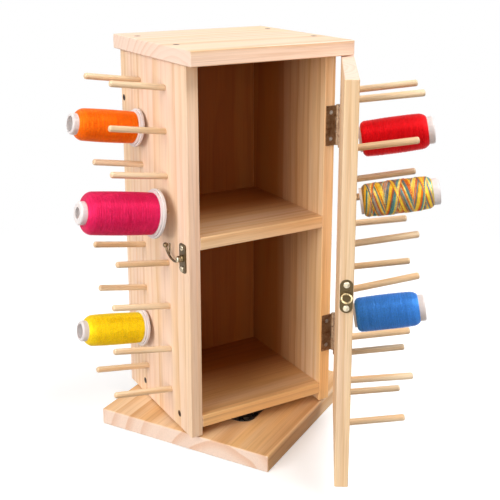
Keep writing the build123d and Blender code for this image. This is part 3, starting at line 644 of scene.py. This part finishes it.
def thread_shader(name, colour_of):
    """A shiny twisted thread whose colour comes from a function of the winding's progress."""
    material, tree, shader = new_material(name)
    marks = step(tree, "ShaderNodeUVMap", {}, uv_map="along_thread").outputs[0]
    split = step(tree, "ShaderNodeSeparateXYZ", {0: marks})
    progress, around = split.outputs[0], split.outputs[1]
    twist = calc(tree, "SINE", calc(tree, "MULTIPLY_ADD", progress, TWIST_RATE,
                                    calc(tree, "MULTIPLY", around, 2 * math.pi)))
    place = tree.nodes.new("ShaderNodeTexCoord").outputs["Object"]
    fuzz = noise(tree, place, 700.0, 3.0)
    colour = colour_of(tree, progress)
    colour = mix(tree, 1.0, colour, ramp(tree, fuzz, ((0.3, grey(0.82)), (0.68, grey(1.08)))), "MULTIPLY")
    feed(tree, shader.inputs["Base Color"], colour)
    feed(tree, shader.inputs["Roughness"], calc(tree, "MULTIPLY_ADD", fuzz, 0.16, 0.26))
    feed(tree, shader.inputs["Normal"], bump(tree, twist, 0.25, 0.00005))
    feed(tree, shader.inputs["Specular Tint"], mix(tree, 0.6, grey(1.0), colour))
    shader.inputs["Sheen Weight"].default_value = 0.02
    shader.inputs["Sheen Roughness"].default_value = 0.4
    shader.inputs["Metallic"].default_value = 0.38
    shader.inputs["Specular IOR Level"].default_value = 0.25
    return material


def one_dye(deep, light):
    """A colour function: one dye, a little lighter or deeper from turn to turn."""
    def colour_of(tree, progress):
        turn = step(tree, "ShaderNodeTexNoise", {"W": progress, "Scale": 0.7, "Detail": 3.0},
                    noise_dimensions="1D").outputs[0]
        return mix(tree, ramp(tree, turn, ((0.32, grey(0)), (0.68, grey(1)))), deep, light)
    return colour_of


plain_dyes = {
    "orange": ((0.92, 0.13, 0.001, 1), (0.98, 0.23, 0.004, 1)),
    "pink": ((0.66, 0.006, 0.070, 1), (0.80, 0.025, 0.14, 1)),
    "yellow": ((0.92, 0.60, 0.003, 1), (0.97, 0.74, 0.014, 1)),
    "red": ((0.74, 0.002, 0.006, 1), (0.90, 0.008, 0.016, 1)),
    "blue": ((0.045, 0.23, 0.70, 1), (0.085, 0.36, 0.90, 1)),
}
for seed, (colour, (deep, light)) in enumerate(plain_dyes.items()):
    material = thread_shader(f"{colour}_thread", one_dye(deep, light))
    piece = package(colour, square_winding(colour, seed), material)
    print(piece.name, len(piece.data.polygons), "faces")

# %% [markdown]
# The sixth spool is cross-wound: each pass runs from one end to the other in about three
# turns, so that the passes cross like a net and later ones cover earlier ones in
# triangles. Its thread changes colour along its length, and every pass starts a little
# later round the core, so neighbours nearly share their colours. The order of laying
# matters, so the reach grows a hair with time.

# %% Cross-wound thread of many colours
CROSS_PASSES = 84
TURNS_PER_PASS = 3.0
COLOUR_DRIFT = 0.045
COLOUR_JITTER = 0.075
PRESSED_FLAT = 0.4
STEPS_PER_PASS = 110
CROSS_SHARE, CROSS_START_SHARE = 0.97, 0.015
LIFT_IN_RADII, CROSS_CORE_DEPTH_IN_RADII = 2.4, 3.4


def cross_winding(colour):
    """The layers of a cross-wound package: one long thread over a packed core."""
    chance = np.random.default_rng(6)
    radius = 1.2 * THREAD_RADIUS
    time = np.linspace(0, 1, CROSS_PASSES * STEPS_PER_PASS)
    share = to_and_fro(CROSS_PASSES, dwell=0.06)(time) * CROSS_SHARE + CROSS_START_SHARE
    slip = 2.0 / CROSS_PASSES
    angle = 2 * math.pi * CROSS_PASSES * time * (TURNS_PER_PASS + slip / 2)
    lift = (time - 1) * LIFT_IN_RADII * radius
    points = laid(colour, share, angle, lift, radius)
    rounds = time * CROSS_PASSES / 2
    stray = chance.normal(0, COLOUR_JITTER, CROSS_PASSES // 2 + 1)
    progress = rounds * (1 + COLOUR_DRIFT) + np.interp(rounds, np.arange(len(stray)), stray)
    core = packed_core(colour, CROSS_CORE_DEPTH_IN_RADII * radius)
    return [core, tube(points, radius, progress, PRESSED_FLAT)]


def many_dyes(tree, progress):
    """A colour function: dyes that follow one another along the thread."""
    stops = ((0.0, (0.95, 0.70, 0.07)), (0.13, (0.93, 0.62, 0.04)), (0.16, (0.82, 0.24, 0.02)),
             (0.24, (0.60, 0.05, 0.02)), (0.28, (0.05, 0.17, 0.17)), (0.40, (0.16, 0.44, 0.40)),
             (0.44, (0.90, 0.74, 0.25)), (0.55, (0.93, 0.60, 0.05)), (0.58, (0.50, 0.04, 0.03)),
             (0.66, (0.80, 0.22, 0.03)), (0.70, (0.40, 0.50, 0.44)), (0.80, (0.05, 0.20, 0.21)),
             (0.84, (0.22, 0.12, 0.13)), (0.90, (0.84, 0.34, 0.03)), (1.0, (0.95, 0.70, 0.07)))
    return ramp(tree, calc(tree, "FRACT", progress), stops)


piece = package("multicolour", cross_winding("multicolour"), thread_shader("multicolour_thread", many_dyes))
print(piece.name, len(piece.data.polygons), "faces")

# %% [markdown]
# The floor is a plain pale sheet. The camera sees it nearly white, while light that
# bounces off it towards the rack is weaker, so that the inside of the cabinet stays as
# deep and warm as it really looks. It keeps the rack's soft shadow.

# %% Floor
FLOOR_REACH, FLOOR_HEIGHT = 1.2, -0.0004
FADE_START, FADE_END = 0.35, 0.75
SHOWN_GREY, BOUNCED_GREY, SHOWN_GLOW = 0.80, 0.24, 0.40

corners = [(x * FLOOR_REACH, y * FLOOR_REACH, FLOOR_HEIGHT) for x, y in ((-1, -1), (1, -1), (1, 1), (-1, 1))]
floor_mesh = bpy.data.meshes.new("floor")
floor_mesh.from_pydata(corners, [], [tuple(range(len(corners)))])
floor = bpy.data.objects.new("floor", floor_mesh)
bpy.context.scene.collection.objects.link(floor)

floor_paper, tree, shader = new_material("floor_paper")
paths = tree.nodes.new("ShaderNodeLightPath")
seen = calc(tree, "MAXIMUM", paths.outputs["Is Camera Ray"], paths.outputs["Is Glossy Ray"])
seen = calc(tree, "MAXIMUM", seen, paths.outputs["Is Transmission Ray"])
feed(tree, shader.inputs["Base Color"], mix(tree, seen, grey(BOUNCED_GREY), grey(SHOWN_GREY)))
feed(tree, shader.inputs["Emission Color"], grey(1.0))
feed(tree, shader.inputs["Emission Strength"], calc(tree, "MULTIPLY", seen, SHOWN_GLOW))
shader.inputs["Roughness"].default_value = 0.9
shader.inputs["Specular IOR Level"].default_value = 0.0
place = tree.nodes.new("ShaderNodeTexCoord").outputs["Object"]
distance = step(tree, "ShaderNodeVectorMath", {0: place}, operation="LENGTH").outputs[1]
clear = tree.nodes.new("ShaderNodeBsdfTransparent")
fade = step(tree, "ShaderNodeMapRange", {0: distance, 1: FADE_START, 2: FADE_END},
            interpolation_type="SMOOTHSTEP")
faded = step(tree, "ShaderNodeMixShader", {0: fade.outputs[0], 1: shader.outputs[0], 2: clear.outputs[0]})
output = next(made for made in tree.nodes if made.type == "OUTPUT_MATERIAL")
tree.links.new(faded.outputs[0], output.inputs["Surface"])
floor_mesh.materials.append(floor_paper)
print("floor laid")

# %% [markdown]
# The light is a large soft box on the left, a small low one in front, one above, one
# from the right and one behind, as in a product studio. Large lamps give soft shadows.
# The world is white to the camera and in reflections and dim as a light, so the back of
# the compartments falls into shade.

# %% Lamps, world and colours
LAMP_AIM = Vector((0, 0, 0.2))
WORLD_LIGHT = 0.03


def soft_box(name, azimuth, elevation, distance, side, power):
    """A square lamp aimed at the cabinet; azimuth counts from the front towards the left."""
    lamp = bpy.data.objects.new(name, bpy.data.lights.new(name, "AREA"))
    lamp.data.shape = "SQUARE"
    lamp.data.size = side
    lamp.data.energy = power
    azimuth, elevation = math.radians(azimuth), math.radians(elevation)
    outward = Vector((-math.sin(azimuth) * math.cos(elevation), -math.cos(azimuth) * math.cos(elevation),
                      math.sin(elevation)))
    lamp.location = LAMP_AIM + distance * outward
    lamp.rotation_euler = outward.to_track_quat("Z", "Y").to_euler()
    bpy.context.scene.collection.objects.link(lamp)
    return lamp


soft_box("left_box", 76, 22, 1.9, 1.4, 35)
soft_box("front_box", 40, 8, 2.0, 0.9, 8)
soft_box("high_box", -16, 56, 2.3, 1.0, 27)
soft_box("back_box", 150, 55, 2.1, 1.0, 11)
soft_box("right_box", -66, 32, 2.0, 1.0, 27)

world = bpy.data.worlds.new("studio")
bpy.context.scene.world = world
world.use_nodes = True
tree = world.node_tree
background = tree.nodes["Background"]
paths = tree.nodes.new("ShaderNodeLightPath")
seen = calc(tree, "MAXIMUM", paths.outputs["Is Camera Ray"], paths.outputs["Is Glossy Ray"])
seen = calc(tree, "MAXIMUM", seen, paths.outputs["Is Transmission Ray"])
feed(tree, background.inputs["Color"], grey(1.0))
feed(tree, background.inputs["Strength"], calc(tree, "MULTIPLY_ADD", seen, 1 - WORLD_LIGHT, WORLD_LIGHT))
bpy.context.scene.view_settings.view_transform = "Standard"
